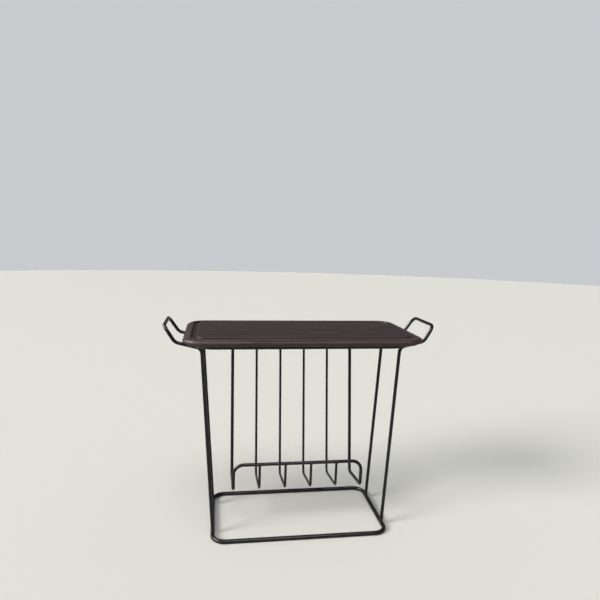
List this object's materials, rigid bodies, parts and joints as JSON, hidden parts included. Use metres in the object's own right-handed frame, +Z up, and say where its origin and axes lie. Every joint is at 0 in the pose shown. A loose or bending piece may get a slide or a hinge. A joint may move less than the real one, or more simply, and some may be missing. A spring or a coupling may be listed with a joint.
{
  "type": "magazine rack",
  "caption": "Free-standing magazine rack: bent-rod steel frame with carry handles, a hanging wire cradle for magazines and a lift-off dark wooden tray top.",
  "frame": {"origin": "on the floor, under the middle of the rack", "axes": "+X along the tray's length towards the right handle, +Y towards the back of the cradle, +Z up; magazines go in from -Y"},
  "size_m": [0.636, 0.288, 0.4955],
  "materials": {
    "frame_steel": "satin black powder coat",
    "tray_wood": "dark purple-brown stain under a satin lacquer, grain along X"
  },
  "bodies": {
    "frame": {"base_ring": "frame_steel", "side_frame_left": "frame_steel", "side_frame_right": "frame_steel", "top_ring": "frame_steel", "cradle_outer_wire": "frame_steel", "cradle_slat_1": "frame_steel", "cradle_slat_2": "frame_steel", "cradle_slat_3": "frame_steel", "cradle_slat_4": "frame_steel"},
    "tray": {"tray": "tray_wood"}
  },
  "joints": [
    {"name": "tray_lift", "type": "slide", "parent": "frame", "child": "tray", "axis": [0, 0, 1], "range_m": [0, 0.12]}
  ]
}
